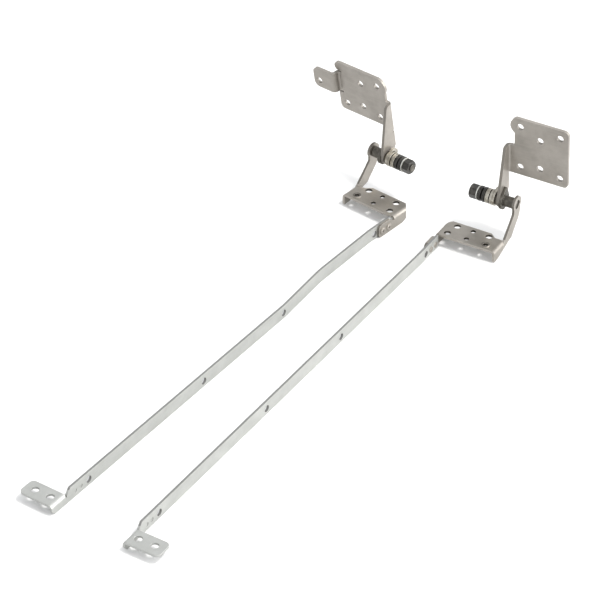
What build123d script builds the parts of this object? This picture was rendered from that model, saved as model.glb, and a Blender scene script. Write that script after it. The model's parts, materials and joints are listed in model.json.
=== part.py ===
"""Pair of laptop hinges: folded lid brackets with long screen rails, friction shafts and base brackets.

Each hinge is drawn once as a right-hand pattern and mirrored for the left. In the pattern x runs outwards
along the shaft, y runs backwards along the rail and z is up. The pattern's origin is on the floor, under
the rail's first screw hole, at the face of the rail that the lid plate is on. Millimetres and degrees.
"""
import os
from math import acos, atan2, cos, degrees, hypot, radians, sin

from build123d import *

os.makedirs("parts", exist_ok=True)

# Where the two hinges lie
pair_centre = (-15.047, -78.688)
left_hinge_x = -24.75
left_hinge_y = 2.05
left_hinge_yaw = -9.9
lean_angle = {"left": 11.0, "right": 6.2}

# Lid bracket
lid_sheet = 1.0
lid_bend = 0.6
lid_top = 5.5
lid_width = 26.0
lid_front = 10.7
lid_depth = 10.8
corner_cut_x = 2.4
corner_cut_y = 2.8
flange_cut_length = 5.5
flange_cut_height = 2.2
lid_hole_offset = -0.6
back_row_inset = 2.4
back_row_pitch = 6.9
front_row_inset = 2.6
front_row_pitch = 8.3
lid_screw_hole = 2.8
lid_small_hole = 2.1
raised_rim_height = 0.35
raised_rim_wall = 0.6
outer_foot = 0.7
notch_width = 4.2
notch_depth = 2.1
notch_slope = 2.5
relief_width = 0.6
tongue_length = 9.1
tongue_height = 5.6
tongue_slope = 2.4
tongue_corner = 1.5

# Riser arm of the lid bracket
riser_width = 5.2
riser_angle = 47.6
riser_knee_drop = 4.5
riser_knee_radius = 4.0
eye_radius = 3.2
eye_rise = 0.35
sweep_start = 2.8
sweep_angle = 17.3

# Screen rail
rail_sheet = 0.9
rail_bend = 0.6
rail_height = 5.6
rail_back = 10.0
rail_toe_start = 3.0
rail_end = 200.1
rail_toe_angle = {"left": 4.1, "right": 2.0}
jog_start = 36.0
jog_end = 62.0
jog_angle = 5.4
front_angle = 1.6
rail_bend_radius = 30.0
rail_holes = (0.0, 62.9, 113.4, 180.0)
rail_hole = 2.7
rail_hole_height = 2.45
dimple_stations = (184.3, 187.3)
dimple_radius = 0.75
dimple_depth = 0.2
tab_top = 4.15
tab_length = 7.6
tab_reach = 13.6
tab_corner = 1.9
tab_hole = 3.0
tab_hole_inset = 2.85
tab_hole_pitch = 6.6
tab_hole_shift = 0.1
step_start = 8.2
step_run = 1.9
step_height = 3.2
web_corner = 2.4

# Rail rivets
rivet_stations = (3.9, 7.7)
rivet_height = 2.45
rivet_shank = 1.5
rivet_clearance = 0.05
rivet_head = 3.0
rivet_crown = 2.2
rivet_head_height = 0.5
rivet_hollow = 0.9
rivet_hollow_depth = 0.8
rivet_foot = 2.4
rivet_foot_height = 0.3

# Shaft
shaft_y = 29.2
shaft_z = 16.9
shaft_diameter = 3.6
shaft_flats = 2.8
key_angle = 49.0
thread_diameter = 3.0
running_clearance = 0.05
key_clearance = 0.04
arm_to_riser = 5.6
stop_flange_radius = 3.6
stop_flange_width = 1.2
stop_lug_reach = 5.85
stop_lug_angle = 77.5
stop_lug_tip = 0.4
collar_radius = 2.2
tail_set_back = 0.35
thread_stand_out = 0.5
edge_chamfer = 0.2

# Friction stack, from the arm inwards
inner_thrust_width = 1.1
inner_thrust_radius = 2.5
friction_plate_width = 1.15
friction_plate_radius = 3.2
friction_ear_reach = 4.6
friction_ear_width = 4.6
friction_ear_angle = 38.0
ear_pin_reach = 3.5
ear_pin = 0.9
keyed_washer_width = 1.0
keyed_washer_radius = 3.15
outer_thrust_width = 0.35
outer_thrust_radius = 2.6
spacer_width = 1.6
spacer_radius = 3.05
spring_count = 4
spring_sheet = 0.5
spring_cone = 0.375
spring_radius = 3.08
pressure_washer_width = 0.4
pressure_washer_radius = 3.0
nut_width = 3.2
nut_across_flats = 5.1

# Base bracket, measured from the shaft: out along it, back and up
base_sheet = 1.2
base_bend = 0.8
plate_back = 5.9
plate_bottom = 10.0
plate_edge = {"left": 43.2, "right": 42.5}
plate_corner = 1.9
arm_top = 23.3
arm_top_front = 3.2
arm_top_corner = 1.5
arm_eye_radius = 3.0
arm_heel = 2.5
arm_relief = 0.6
base_hole = 2.8
base_column = {"left": 22.9, "right": 22.2}
base_column_pitch = 8.4
low_row = 13.8
low_middle_row = 15.6
plate_top = {"left": 33.7, "right": 36.8}
lobe_row = {"left": 29.5, "right": 33.0}
lobe_radius = {"left": 4.4, "right": 4.2}
middle_row = {"left": 27.2, "right": 29.0}
lobe_neck = {"left": 19.0, "right": 19.8}
ear_radius = 2.2
ear_stand_out = 0.75
jog_edge = 42.5
jog_tab_offset = 2.9
jog_tab_reach = 10.8
jog_tab_bottom = 19.3
jog_tab_top = 28.8
jog_tab_corner = 2.5
jog_tab_hole_inset = 2.7
jog_tab_hole_height = 22.8
jog_relief = 0.8
jog_root = 1.6

# Places worked out from the sizes above
lid_back = lid_front + lid_depth
flange_x = -rail_sheet - lid_sheet
lid_outer_x = flange_x + lid_width
lid_hole_centre = flange_x + lid_width / 2 + lid_hole_offset
lid_underside = lid_top - lid_sheet
fold_line_z = lid_underside - lid_bend
tongue_end = lid_front - tongue_length
riser_x = lid_outer_x - lid_sheet
arm_outer_x = riser_x - arm_to_riser
arm_x = arm_outer_x - base_sheet
inner_thrust_x = arm_x - inner_thrust_width
friction_x = inner_thrust_x - friction_plate_width
keyed_x = friction_x - keyed_washer_width
outer_thrust_x = keyed_x - outer_thrust_width
spacer_x = outer_thrust_x - spacer_width
spring_pitch = spring_sheet + spring_cone
springs_x = spacer_x - spring_count * spring_pitch
pressure_x = springs_x - pressure_washer_width
nut_x = pressure_x - nut_width
shaft_end_x = nut_x - thread_stand_out
shaft_axis = Axis((0, shaft_y, shaft_z), (1, 0, 0))


def across(x, y=0, z=0):
    """Plane that the shaft's axis stands square to: its own x runs back and its own y runs up."""
    return Plane(origin=(x, y, z), x_dir=(0, 1, 0), z_dir=(1, 0, 0))


def across_shaft(x):
    """The same plane, centred on the shaft's axis."""
    return across(x, shaft_y, shaft_z)


def double_d(clearance=0.0):
    """Outline of the shaft's two-flat section, opened by a clearance."""
    with BuildSketch() as outline:
        Circle(shaft_diameter / 2 + clearance)
        Rectangle(2 * shaft_diameter, shaft_flats + 2 * clearance, rotation=key_angle, mode=Mode.INTERSECT)
    return outline.sketch


shaft_section = double_d()
key_hole = double_d(key_clearance)


def tangent_point(radius, point, turn):
    """Touching point on a circle about the origin, of the tangent through an outside point."""
    angle = atan2(point[1], point[0]) + turn * acos(radius / hypot(*point))
    return (radius * cos(angle), radius * sin(angle))


def rail_spans(side):
    """Straight spans of a rail, from its first hole to its front end: length and inward angle."""
    toe = rail_toe_angle[side]
    if side == "right":
        return [(rail_toe_start, 0.0), (rail_end - rail_toe_start, toe)]
    return [
        (rail_toe_start, 0.0),
        (jog_start - rail_toe_start, toe),
        (jog_end - jog_start, toe + jog_angle),
        (rail_end - jog_end, toe + front_angle),
    ]


def rail_corners(side):
    """Corner points of a rail's middle line in plan, from its back end to its front end."""
    x = -rail_sheet / 2
    y = 0.0
    corners = [(x, rail_back)]
    for length, angle in rail_spans(side):
        x -= length * sin(radians(angle))
        y -= length * cos(radians(angle))
        corners.append((x, y))
    return corners


def rail_plane(side, station):
    """Plan plane at a distance along a rail: origin on its middle line, own x outwards, own y backwards."""
    corners = rail_corners(side)[1:]
    x, y = -rail_sheet / 2, 0.0
    left_over = station
    for (length, angle), corner in zip(rail_spans(side), corners):
        if left_over <= length or corner == corners[-1]:
            break
        left_over -= length
        x, y = corner
    x -= left_over * sin(radians(angle))
    y -= left_over * cos(radians(angle))
    return Plane(origin=(x, y, 0), x_dir=(cos(radians(angle)), -sin(radians(angle)), 0), z_dir=(0, 0, 1))


def drill_line(plane, x, y, z):
    """Place for a hole that runs along a plane's own x."""
    centre = plane.from_local_coords((x, y, z))
    return Plane(origin=centre, x_dir=(0, 0, 1), z_dir=plane.x_dir)


def lid_bracket():
    """Folded sheet that screws to the lid: channel, rail tongue and riser arm."""
    flange_mid = flange_x + lid_sheet / 2
    outer_mid = lid_outer_x - lid_sheet / 2
    roof_mid = lid_top - lid_sheet / 2
    notch_y = lid_back - notch_depth
    notch_x = lid_outer_x - notch_width
    with BuildPart() as bracket:
        # Inverted channel: screw plate with a flange turned down on each side
        with BuildSketch(Plane(origin=(0, lid_back, 0), x_dir=(1, 0, 0), z_dir=(0, -1, 0))):
            with BuildLine():
                FilletPolyline(
                    (flange_mid, 0), (flange_mid, roof_mid), (outer_mid, roof_mid), (outer_mid, outer_foot),
                    radius=lid_bend + lid_sheet / 2,
                )
            trace(line_width=lid_sheet)
        extrude(amount=lid_depth)
        # Cut-off back corner, notch beside the riser and relief in front of the inner fold
        with BuildSketch(Plane.XY):
            with BuildLine():
                Polyline(
                    (flange_x, lid_back), (flange_x, lid_back - corner_cut_y),
                    (flange_x + corner_cut_x, lid_back), close=True,
                )
            make_face()
            with BuildLine():
                Polyline(
                    (notch_x - notch_slope, lid_back), (notch_x, notch_y),
                    (lid_outer_x, notch_y), (lid_outer_x, lid_back), close=True,
                )
            make_face()
        extrude(amount=lid_top, mode=Mode.SUBTRACT)
        with BuildSketch(Plane.XY.offset(fold_line_z)):
            with Locations((flange_x, lid_front)):
                Rectangle(lid_sheet + lid_bend, relief_width, align=Align.MIN)
        extrude(amount=lid_top, mode=Mode.SUBTRACT)
        # Tongue that the rail is riveted to, in the inner flange's plane
        with BuildSketch(across(flange_x)):
            with BuildLine():
                Polyline(
                    (lid_front + relief_width, 0), (tongue_end, 0), (tongue_end, tongue_height),
                    (lid_front - tongue_slope, tongue_height), (lid_front, fold_line_z),
                    (lid_front + relief_width, fold_line_z), close=True,
                )
            corners = make_face().vertices().group_by(Axis.X)[0]
            fillet(corners, tongue_corner)
        extrude(amount=lid_sheet)
        # Riser arm up to the eye, in the outer flange's plane
        run = (shaft_z - riser_knee_drop - fold_line_z / 2) / sin(radians(riser_angle))
        foot = (shaft_y - run * cos(radians(riser_angle)), fold_line_z / 2)
        with BuildSketch(across(riser_x)):
            with BuildLine():
                FilletPolyline(
                    foot, (shaft_y, shaft_z - riser_knee_drop), (shaft_y, shaft_z),
                    radius=riser_knee_radius,
                )
            trace(line_width=riser_width)
            with Locations((shaft_y, shaft_z + eye_rise)):
                Circle(eye_radius)
            with BuildLine():
                Polyline(
                    (lid_front + sweep_start, outer_foot), (foot[0] + riser_width, outer_foot),
                    (foot[0], fold_line_z), (lid_front + sweep_start, fold_line_z), close=True,
                )
            make_face()
        extrude(amount=lid_sheet)
        # The outer flange's lower edge sweeps up to the riser; the inner one is cut off at the back
        sweep_y = lid_front + sweep_start
        sweep_run = shaft_y + eye_radius - sweep_y
        with BuildSketch(across(riser_x)):
            with BuildLine():
                Polyline(
                    (sweep_y, outer_foot),
                    (sweep_y + sweep_run, outer_foot + sweep_run * sin(radians(sweep_angle))),
                    (sweep_y + sweep_run, -lid_top), (sweep_y, -lid_top), close=True,
                )
            make_face()
        extrude(amount=lid_sheet, mode=Mode.SUBTRACT)
        with BuildSketch(across(flange_x)):
            with BuildLine():
                Polyline(
                    (lid_back - flange_cut_length, 0), (lid_back, 0), (lid_back, flange_cut_height),
                    close=True,
                )
            make_face()
        extrude(amount=lid_sheet, mode=Mode.SUBTRACT)
        # Screw holes in two rows; the front outer one has a raised rim
        back_row = lid_back - back_row_inset
        front_row = lid_front + front_row_inset
        rim_place = (lid_hole_centre + front_row_pitch, front_row)
        with BuildSketch(Plane.XY.offset(lid_top)):
            with Locations(rim_place):
                Circle(lid_small_hole / 2 + raised_rim_wall)
        extrude(amount=raised_rim_height)
        large_holes = [
            (lid_hole_centre - back_row_pitch, back_row),
            (lid_hole_centre + back_row_pitch, back_row),
            (lid_hole_centre - front_row_pitch, front_row),
        ]
        small_holes = [(lid_hole_centre, back_row), (lid_hole_centre, front_row), rim_place]
        with BuildSketch(Plane.XY.offset(lid_underside)):
            with Locations(large_holes):
                Circle(lid_screw_hole / 2)
            with Locations(small_holes):
                Circle(lid_small_hole / 2)
        extrude(amount=lid_sheet + raised_rim_height, mode=Mode.SUBTRACT)
        # Keyed eye for the shaft's tail, and rivet holes in the tongue
        with BuildSketch(across_shaft(riser_x)):
            add(key_hole)
        extrude(amount=lid_sheet, mode=Mode.SUBTRACT)
        with BuildSketch(across(flange_x)):
            with Locations([(y, rivet_height) for y in rivet_stations]):
                Circle(rivet_shank / 2 + rivet_clearance)
        extrude(amount=lid_sheet, mode=Mode.SUBTRACT)
    return bracket.part


def screen_rail(side):
    """Long strip on edge that the screen's side screws to, with a folded tab at its front end."""
    front = rail_plane(side, rail_end)
    web_top = tab_top - rail_sheet - rail_bend
    tab_mid = tab_top - rail_sheet / 2
    tab_tip = rail_sheet / 2 + tab_reach
    with BuildPart() as rail:
        with BuildSketch(Plane.XY):
            with BuildLine():
                FilletPolyline(*rail_corners(side), radius=rail_bend_radius)
            trace(line_width=rail_sheet)
        extrude(amount=rail_height)
        # Front end: the strip's lower corner is rounded and its top steps down to the tab's fold
        end_face = rail.faces().sort_by(Axis(front.origin, front.y_dir))[0]
        fillet(end_face.edges().sort_by(Axis.Z)[0], web_corner)
        side_view = Plane(origin=front.origin, x_dir=front.y_dir, z_dir=front.x_dir)
        with BuildSketch(side_view.offset(-rail_sheet)):
            with BuildLine():
                Polyline(
                    (-rail_sheet, web_top), (step_start, web_top), (step_start, step_height),
                    (step_start + step_run, rail_height), (-rail_sheet, rail_height), close=True,
                )
            make_face()
        extrude(amount=2 * rail_sheet, mode=Mode.SUBTRACT)
        # Tab: fold and flat lug, with rounded outer corners
        with BuildSketch(Plane(origin=front.origin, x_dir=front.x_dir, z_dir=-front.y_dir)):
            with BuildLine():
                FilletPolyline(
                    (0, web_top - rail_bend / 3), (0, tab_mid), (tab_tip, tab_mid),
                    radius=rail_bend + rail_sheet / 2,
                )
            trace(line_width=rail_sheet)
        extrude(amount=-tab_length)
        tip_edges = rail.edges().filter_by(Axis.Z).sort_by(Axis(front.origin, front.x_dir))[-2:]
        fillet(tip_edges, tab_corner)
        tab_hole_y = tab_length / 2 + tab_hole_shift
        first_hole_x = rail_sheet / 2 + tab_hole_inset
        with BuildSketch(front.offset(tab_top - rail_sheet)):
            with Locations((first_hole_x, tab_hole_y), (first_hole_x + tab_hole_pitch, tab_hole_y)):
                Circle(tab_hole / 2)
        extrude(amount=rail_sheet, mode=Mode.SUBTRACT)
        # Screw holes, rivet holes and two small dimples near the front
        for station in rail_holes:
            with Locations(drill_line(rail_plane(side, station), 0, 0, rail_hole_height)):
                Cylinder(rail_hole / 2, 2 * rail_sheet, mode=Mode.SUBTRACT)
        for station in rivet_stations:
            with Locations(drill_line(rail_plane(side, 0), 0, station, rivet_height)):
                Cylinder(rivet_shank / 2 + rivet_clearance, 2 * rail_sheet, mode=Mode.SUBTRACT)
        for station in dimple_stations:
            for face in (-rail_sheet / 2, rail_sheet / 2):
                with Locations(drill_line(rail_plane(side, station), face, 0, rail_hole_height)):
                    Cylinder(dimple_radius, 2 * dimple_depth, mode=Mode.SUBTRACT)
    return rail.part


def rail_rivets():
    """Two rivets: bevelled hollow heads on the tongue, flat feet on the rail."""
    crown_x = flange_x - rivet_head_height
    with BuildPart() as rivets:
        for station in rivet_stations:
            line = Axis((0, station, rivet_height), (1, 0, 0))
            with BuildSketch(Plane(origin=line.position, x_dir=(1, 0, 0), z_dir=(0, 0, 1))):
                with BuildLine():
                    Polyline(
                        (crown_x + rivet_hollow_depth, 0), (crown_x + rivet_hollow_depth, rivet_hollow / 2),
                        (crown_x, rivet_hollow / 2), (crown_x, rivet_crown / 2),
                        (crown_x + rivet_head_height / 2, rivet_head / 2), (flange_x, rivet_head / 2),
                        (flange_x, rivet_shank / 2), (0, rivet_shank / 2), (0, rivet_foot / 2),
                        (rivet_foot_height, rivet_foot / 2), (rivet_foot_height, 0), close=True,
                    )
                make_face()
            revolve(axis=line)
    return rivets.part


def shaft():
    """Turned shaft: keyed tail, collar, stop flange with its lug, journal, two-flat length and thread."""
    lug_angle = radians(stop_lug_angle)
    lug_tip = (stop_lug_reach * cos(lug_angle), stop_lug_reach * sin(lug_angle))
    with BuildPart() as turned:
        with BuildSketch(across_shaft(riser_x)):
            add(shaft_section)
        extrude(amount=lid_sheet - tail_set_back)
        with BuildSketch(across_shaft(arm_outer_x)):
            Circle(collar_radius)
        extrude(amount=arm_to_riser)
        with BuildSketch(across_shaft(arm_outer_x)):
            Circle(stop_flange_radius)
            with BuildLine():
                Polyline(
                    tangent_point(stop_flange_radius, lug_tip, 1), lug_tip,
                    tangent_point(stop_flange_radius, lug_tip, -1), (0, 0), close=True,
                )
            tip = make_face().vertices().sort_by_distance(lug_tip)[0]
            fillet(tip, stop_lug_tip)
        extrude(amount=stop_flange_width)
        with BuildSketch(across_shaft(arm_x)):
            Circle(shaft_diameter / 2)
        extrude(amount=base_sheet)
        with BuildSketch(across_shaft(pressure_x)):
            add(shaft_section)
        extrude(amount=arm_x - pressure_x)
        with BuildSketch(across_shaft(shaft_end_x)):
            Circle(thread_diameter / 2)
        extrude(amount=pressure_x - shaft_end_x)
        end_edges = turned.faces().sort_by(Axis.X)[0].edges()
        chamfer(end_edges, edge_chamfer)
    return turned.part


def keyed_ring(x, width, radius):
    """Flat washer with a two-flat hole, so that it turns with the shaft."""
    with BuildPart() as ring:
        with BuildSketch(across_shaft(x)):
            Circle(radius)
            add(key_hole, mode=Mode.SUBTRACT)
        extrude(amount=width)
    return ring.part


def disc_spring(index):
    """Coned spring washer; every second one is turned round."""
    inside = shaft_diameter / 2 + key_clearance
    start = springs_x + index * spring_pitch
    inner_start = start + spring_cone * (index % 2)
    outer_start = start + spring_cone * ((index + 1) % 2)
    with BuildPart() as spring:
        with BuildSketch(Plane(origin=shaft_axis.position, x_dir=(1, 0, 0), z_dir=(0, -1, 0))):
            with BuildLine():
                Polyline(
                    (inner_start, inside), (inner_start + spring_sheet, inside),
                    (outer_start + spring_sheet, spring_radius), (outer_start, spring_radius), close=True,
                )
            make_face()
        revolve(axis=shaft_axis)
    return spring.part


def lock_nut():
    """Hexagon nut on the shaft's thread, with its corners turned down at both ends."""
    corner_radius = nut_across_flats / 2 / cos(radians(30))
    corner_drop = (corner_radius - nut_across_flats / 2) / 2
    with BuildPart() as nut:
        with BuildSketch(across_shaft(nut_x)):
            RegularPolygon(nut_across_flats / 2, 6, major_radius=False)
        extrude(amount=nut_width)
        with BuildSketch(Plane(origin=shaft_axis.position, x_dir=(1, 0, 0), z_dir=(0, -1, 0))):
            with BuildLine():
                Polyline(
                    (nut_x, 0), (nut_x, nut_across_flats / 2), (nut_x + corner_drop, corner_radius),
                    (nut_x + nut_width - corner_drop, corner_radius),
                    (nut_x + nut_width, nut_across_flats / 2), (nut_x + nut_width, 0), close=True,
                )
            make_face()
        revolve(axis=shaft_axis, mode=Mode.INTERSECT)
        with BuildSketch(across_shaft(nut_x)):
            Circle(thread_diameter / 2 + key_clearance)
        extrude(amount=nut_width, mode=Mode.SUBTRACT)
    return nut.part


def base_holes(side):
    """Screw holes of a base plate: out along the shaft and up from it."""
    columns = [base_column[side] + step * base_column_pitch for step in range(3)]
    holes = [(columns[0], low_row), (columns[1], low_middle_row), (columns[2], low_row)]
    holes += [(columns[0], lobe_row[side]), (columns[1], middle_row[side])]
    if side == "right":
        holes.append((columns[2], lobe_row[side]))
    else:
        holes.append((jog_edge + jog_tab_reach - jog_tab_hole_inset, jog_tab_hole_height))
    return holes


def base_outline(side):
    """Flat outline of a base plate, seen from the front: out along the shaft and up from it."""
    neck = lobe_neck[side]
    column = base_column[side]
    edge = plate_edge[side]
    top = plate_top[side]
    with BuildSketch() as outline:
        with Locations((column, plate_bottom)):
            Rectangle(edge - column, top - plate_bottom, align=Align.MIN)
        corners = outline.vertices().group_by(Axis.X)[-1]
        fillet(corners, plate_corner)
        with Locations((neck, plate_bottom)):
            Rectangle(column - neck, lobe_row[side] - plate_bottom, align=Align.MIN)
        with Locations((column, lobe_row[side])):
            Circle(lobe_radius[side])
        with Locations((column, top)):
            Rectangle(
                2 * lobe_radius[side], lobe_radius[side], align=(Align.CENTER, Align.MIN), mode=Mode.SUBTRACT,
            )
        with Locations((arm_x, plate_bottom)):
            Rectangle(neck - arm_x, arm_top - plate_bottom, align=Align.MIN)
        if side == "left":
            with Locations((edge + ear_stand_out - ear_radius, top - ear_radius)):
                Circle(ear_radius)
            with Locations((jog_edge - jog_root, jog_tab_bottom - jog_relief)):
                Rectangle(
                    edge + ear_stand_out - jog_edge + jog_root, jog_tab_top - jog_tab_bottom + 2 * jog_relief,
                    align=Align.MIN, mode=Mode.SUBTRACT,
                )
    return outline.sketch


def base_bracket(side):
    """Folded sheet that screws to the base: upright plate and the arm that carries the shaft."""
    arm_mid = arm_x + base_sheet / 2
    plate_mid = plate_back + base_sheet / 2
    fold_y = plate_back - base_bend
    fold_radius = base_bend + base_sheet / 2
    outline = base_outline(side)
    front_corner = (arm_top_front, arm_top)
    heel = (plate_back, arm_heel)
    relief_z = plate_bottom - arm_relief
    with BuildPart() as bracket:
        # Plate and the fold to the arm, trimmed to the plate's outline
        with BuildSketch(Plane.XY.offset(plate_bottom)):
            with BuildLine():
                FilletPolyline(
                    (arm_mid, fold_y - base_bend), (arm_mid, plate_mid),
                    (plate_edge[side] + ear_stand_out, plate_mid), radius=fold_radius,
                )
            trace(line_width=base_sheet)
        extrude(amount=plate_top[side] - plate_bottom)
        with BuildSketch(Plane.XZ):
            add(outline)
        extrude(amount=-2 * plate_back, mode=Mode.INTERSECT)
        # Second screw tab of the left bracket, set forward by two folds
        if side == "left":
            jog_x = jog_edge + base_sheet / 2
            jog_mid = plate_mid - jog_tab_offset
            with BuildSketch(Plane.XY.offset(jog_tab_bottom)):
                with BuildLine():
                    FilletPolyline(
                        (jog_edge - 2 * jog_root, plate_mid), (jog_x, plate_mid), (jog_x, jog_mid),
                        (jog_edge + jog_tab_reach, jog_mid), radius=fold_radius,
                    )
                trace(line_width=base_sheet)
            extrude(amount=jog_tab_top - jog_tab_bottom)
            tip_edges = bracket.edges().filter_by(Axis.Y).group_by(Axis.X)[-1]
            fillet(tip_edges, jog_tab_corner)
        # Arm with its bearing eye and the pin that holds the friction plate
        with BuildSketch(across(arm_x)):
            with BuildLine():
                Polyline(
                    tangent_point(arm_eye_radius, front_corner, 1), front_corner, (fold_y, arm_top),
                    (fold_y, relief_z), (plate_back, relief_z), heel,
                    tangent_point(arm_eye_radius, heel, -1), (0, 0), close=True,
                )
            arm_face = make_face()
            fillet(arm_face.vertices().sort_by_distance(front_corner)[0], arm_top_corner)
            Circle(arm_eye_radius)
        extrude(amount=base_sheet)
        with BuildSketch(across(friction_x)):
            with PolarLocations(ear_pin_reach, 1, start_angle=friction_ear_angle):
                Circle(ear_pin / 2)
        extrude(amount=arm_x - friction_x)
        with BuildSketch(across(arm_x)):
            Circle(shaft_diameter / 2 + running_clearance)
        extrude(amount=base_sheet, mode=Mode.SUBTRACT)
        # Screw holes
        with BuildSketch(Plane.XZ):
            with Locations(base_holes(side)):
                Circle(base_hole / 2)
        extrude(amount=-2 * plate_back, mode=Mode.SUBTRACT)
    return bracket.part


def friction_plate():
    """Disc beside the arm, kept from turning by the arm's pin in its ear."""
    ear_centre = friction_ear_reach - friction_ear_width / 2
    with BuildPart() as plate:
        with BuildSketch(across(friction_x)):
            Circle(friction_plate_radius)
            with PolarLocations(ear_centre, 1, start_angle=friction_ear_angle):
                Circle(friction_ear_width / 2)
            with PolarLocations(ear_pin_reach, 1, start_angle=friction_ear_angle):
                Circle(ear_pin / 2 + running_clearance, mode=Mode.SUBTRACT)
            Circle(shaft_diameter / 2 + running_clearance, mode=Mode.SUBTRACT)
        extrude(amount=friction_plate_width)
    return plate.part


def lid_side_pieces(side):
    """Pieces that stay with the lid and the shaft, in the right-hand pattern."""
    pieces = {
        "lid_bracket": lid_bracket(),
        "screen_rail": screen_rail(side),
        "rail_rivets": rail_rivets(),
        "shaft": shaft(),
        "inner_thrust_washer": keyed_ring(inner_thrust_x, inner_thrust_width, inner_thrust_radius),
        "keyed_washer": keyed_ring(keyed_x, keyed_washer_width, keyed_washer_radius),
        "outer_thrust_washer": keyed_ring(outer_thrust_x, outer_thrust_width, outer_thrust_radius),
        "spacer_collar": keyed_ring(spacer_x, spacer_width, spacer_radius),
        "pressure_washer": keyed_ring(pressure_x, pressure_washer_width, pressure_washer_radius),
        "lock_nut": lock_nut(),
    }
    for index in range(spring_count):
        pieces[f"disc_spring_{index + 1}"] = disc_spring(index)
    return pieces


def base_side_pieces(side):
    """Pieces that turn about the shaft, measured from it."""
    return {"base_bracket": base_bracket(side), "friction_plate": friction_plate()}


right_place = Location((-pair_centre[0], -pair_centre[1], 0))
left_place = right_place * Location((left_hinge_x, left_hinge_y, 0), (0, 0, left_hinge_yaw))
hinge_place = {"left": left_place, "right": right_place}

for hand in ("left", "right"):
    turned_base = Location((0, shaft_y, shaft_z), (lean_angle[hand], 0, 0))
    hinge_pieces = lid_side_pieces(hand)
    for piece_name, base_piece in base_side_pieces(hand).items():
        hinge_pieces[piece_name] = base_piece.moved(turned_base)
    for piece_name, piece in hinge_pieces.items():
        if hand == "left":
            piece = piece.mirror(Plane.YZ)
        piece = piece.moved(hinge_place[hand])
        piece.label = f"{hand}_{piece_name}"
        export_step(piece, f"parts/{piece.label}.step")
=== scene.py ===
"""Laptop hinge pair: sheet-metal finishes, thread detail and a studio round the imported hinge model.

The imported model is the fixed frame. Every size below is in metres in that frame: X along the right hinge's
shaft, Y back towards the shafts, Z up. Operators dress the pieces group by group and set the stage.
"""
import json
import math

import bmesh
import bpy
from mathutils import Matrix, Vector


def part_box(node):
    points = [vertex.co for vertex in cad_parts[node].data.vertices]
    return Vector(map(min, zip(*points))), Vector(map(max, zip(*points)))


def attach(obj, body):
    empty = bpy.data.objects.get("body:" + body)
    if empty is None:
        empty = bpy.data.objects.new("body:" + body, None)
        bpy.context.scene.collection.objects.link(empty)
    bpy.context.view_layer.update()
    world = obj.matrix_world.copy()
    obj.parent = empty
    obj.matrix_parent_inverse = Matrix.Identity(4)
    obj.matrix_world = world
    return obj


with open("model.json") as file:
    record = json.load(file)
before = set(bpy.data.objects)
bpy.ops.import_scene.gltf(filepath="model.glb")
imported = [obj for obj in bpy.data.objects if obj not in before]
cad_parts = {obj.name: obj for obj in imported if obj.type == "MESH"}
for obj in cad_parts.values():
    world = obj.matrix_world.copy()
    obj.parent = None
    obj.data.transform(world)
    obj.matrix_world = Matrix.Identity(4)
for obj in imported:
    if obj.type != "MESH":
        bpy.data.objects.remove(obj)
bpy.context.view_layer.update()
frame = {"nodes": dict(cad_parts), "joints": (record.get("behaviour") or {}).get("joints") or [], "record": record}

bl_info = {
    "name": "Laptop Hinge Pair",
    "version": (1, 0, 0),
    "blender": (4, 5, 0),
    "location": "3D View > Sidebar > Hinge Pair",
    "description": "Dresses a pair of laptop hinges and sets a pale studio round them",
    "category": "Object",
}

SIDES = ("left", "right")
NUT_STEM = "lock_nut"
BLACK_STEMS = ("disc_spring_1", "disc_spring_2", "disc_spring_3", "disc_spring_4", NUT_STEM)
BRIGHT_STEMS = ("keyed_washer", "spacer_collar", "friction_plate")
ZINC_STEMS = ("pressure_washer",)
DULL_STEMS = ("inner_thrust_washer", "outer_thrust_washer")
LID_SIDE = "lid_side"
UPWARDS = (0.0, 0.0, 1.0)
BACKWARDS = (0.0, 1.0, 0.0)
ACROSS_THE_GRAIN = (0.06, 1.0, 1.0)
ALONG_THE_RAIL = (1.0, 0.05, 1.0)
NO_GRAIN = (1.0, 1.0, 1.0)
HOLLOW_SAMPLES = 12
EDGE_SAMPLES = 6
SHEET_SMUDGE = 0.12
TURNED_SMUDGE = 0.15
WELD_SHARE = 0.05
THREAD_WELD_SHARE = 0.02
THREAD_STEPS = 40
THREAD_HALF_FOOT = 0.3
THREAD_LIFT = 0.4
# Sockets of a Mix node by number, because their names repeat
MIX_FACTOR = 0
MIX_VALUES = (2, 3)
MIX_VALUE_OUT = 0
MIX_COLOURS = (6, 7)
MIX_COLOUR_OUT = 2


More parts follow.
